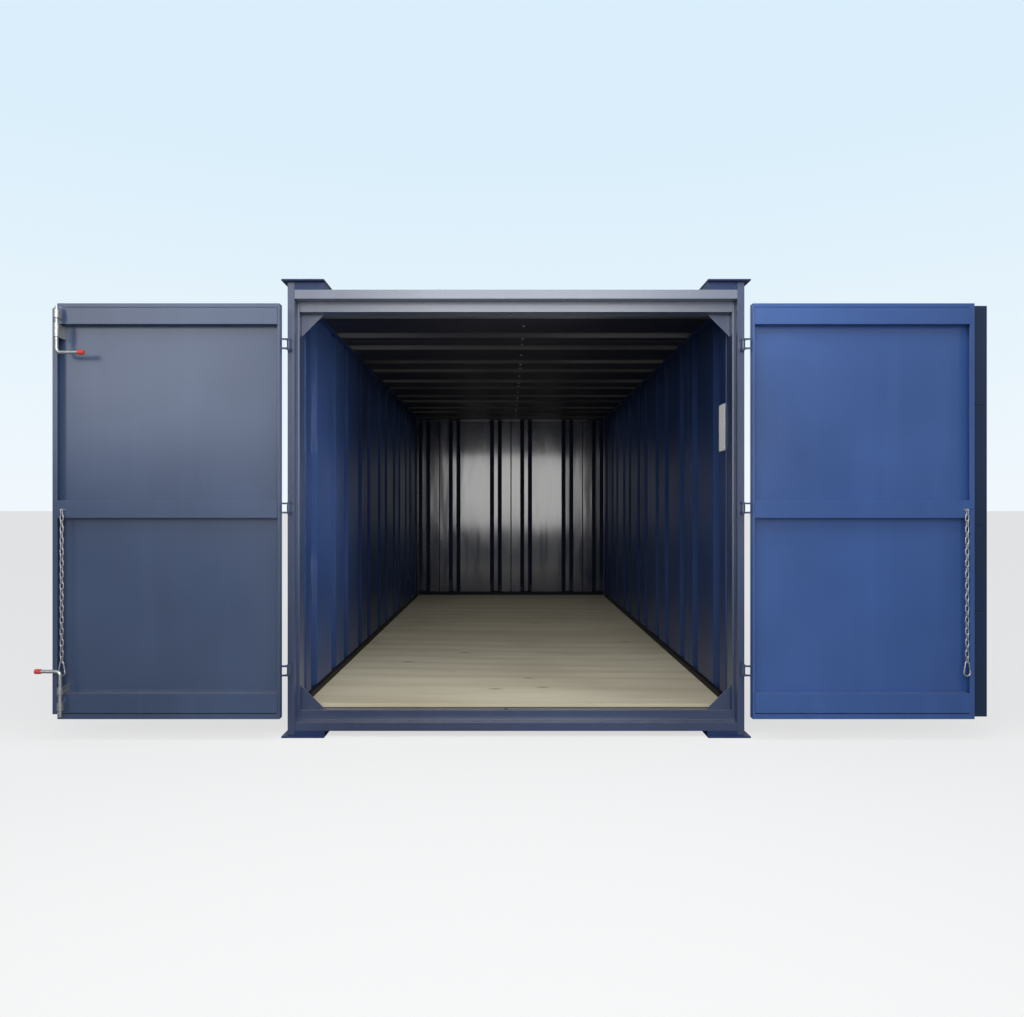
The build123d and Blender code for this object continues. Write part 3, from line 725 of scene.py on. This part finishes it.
floor_mat, tree, shader = new_material("studio_floor")
shader.inputs["Base Color"].default_value = (0.24, 0.24, 0.25, 1)
shader.inputs["Roughness"].default_value = 0.9
shader.inputs["Specular IOR Level"].default_value = 0.1
pale = tree.nodes.new("ShaderNodeBsdfDiffuse")
pale.inputs["Color"].default_value = (0.85, 0.85, 0.85, 1)
glow = tree.nodes.new("ShaderNodeEmission")
glow.inputs["Color"].default_value = (0.92, 0.92, 0.92, 1)
shown = tree.nodes.new("ShaderNodeMixShader")
shown.inputs[0].default_value = 0.70
tree.links.new(pale.outputs[0], shown.inputs[1])
tree.links.new(glow.outputs[0], shown.inputs[2])
camera_switch(tree, shader.outputs[0], shown.outputs[0], tree.nodes["Material Output"].inputs[0])

mesh = bpy.data.meshes.new("studio_floor")
corners = ((-1, -1), (1, -1), (1, 1), (-1, 1))
mesh.from_pydata([(u * FLOOR_REACH, v * FLOOR_REACH, 0.0) for u, v in corners], [], [(0, 1, 2, 3)])
mesh.materials.append(floor_mat)
obj = bpy.data.objects.new("studio_floor", mesh)
scene.collection.objects.link(obj)

# Sky: one gradient for the camera, and one that lights the object
world = bpy.data.worlds.new("studio_sky")
scene.world = world
world.use_nodes = True
tree = world.node_tree
tree.nodes.clear()
out = tree.nodes.new("ShaderNodeOutputWorld")
where = tree.nodes.new("ShaderNodeTexCoord")
split = tree.nodes.new("ShaderNodeSeparateXYZ")
tree.links.new(where.outputs["Generated"], split.inputs[0])
height = split.outputs["Z"]
skies = []
for low, high, horizon, zenith, strength in (
    (0.0, 0.42, (0.88, 0.94, 0.985), (0.70, 0.86, 0.965), 1.0),
    (-0.1, 0.35, (0.50, 0.53, 0.58), (0.88, 0.94, 1.0), 0.50),
):
    sky = tree.nodes.new("ShaderNodeBackground")
    tree.links.new(mix(tree, ramp(tree, height, low, high), horizon, zenith), sky.inputs["Color"])
    sky.inputs["Strength"].default_value = strength
    skies.append(sky.outputs[0])
camera_switch(tree, skies[1], skies[0], out.inputs[0])


# Lamps
def softbox(name, place, aim, size, power, colour=(1.0, 1.0, 1.0), glossy=True):
    """A rectangular lamp turned to a point. The camera never sees it, and glossy surfaces may not either."""
    data = bpy.data.lights.new(name, "AREA")
    data.shape = "RECTANGLE"
    data.size, data.size_y = size
    data.energy = power
    data.color = colour
    lamp = bpy.data.objects.new(name, data)
    lamp.location = place
    lamp.rotation_euler = (aim - place).to_track_quat("-Z", "Y").to_euler()
    lamp.visible_camera = False
    lamp.visible_glossy = glossy
    scene.collection.objects.link(lamp)
    return lamp


softbox("front_softbox", at(0.0, -5.2, 2.4), at(0.0, 0.0, 1.7), (3.4, 3.6), 178, (1.0, 0.99, 0.97))
softbox("key_softbox", at(-4.5, -6.5, 3.3), at(-0.2, 0.0, 1.2), (3.0, 3.0), 62)
softbox("above_softbox", at(0.0, -1.2, 3.2), at(0.0, 0.7, 0.2), (3.0, 1.2), 42)
softbox("inside_fill", at(0.0, 2.3, 1.98), at(0.0, 2.3, 0.0), (1.7, 4.0), 6, glossy=False)
slant = softbox("slanting_key", at(0.97, 0.15, 1.10), at(-1.0, 0.45, 1.08), (0.08, 1.5), 7.0,
                glossy=False)
slant.data.spread = math.radians(58)

scene.view_settings.view_transform = "Standard"
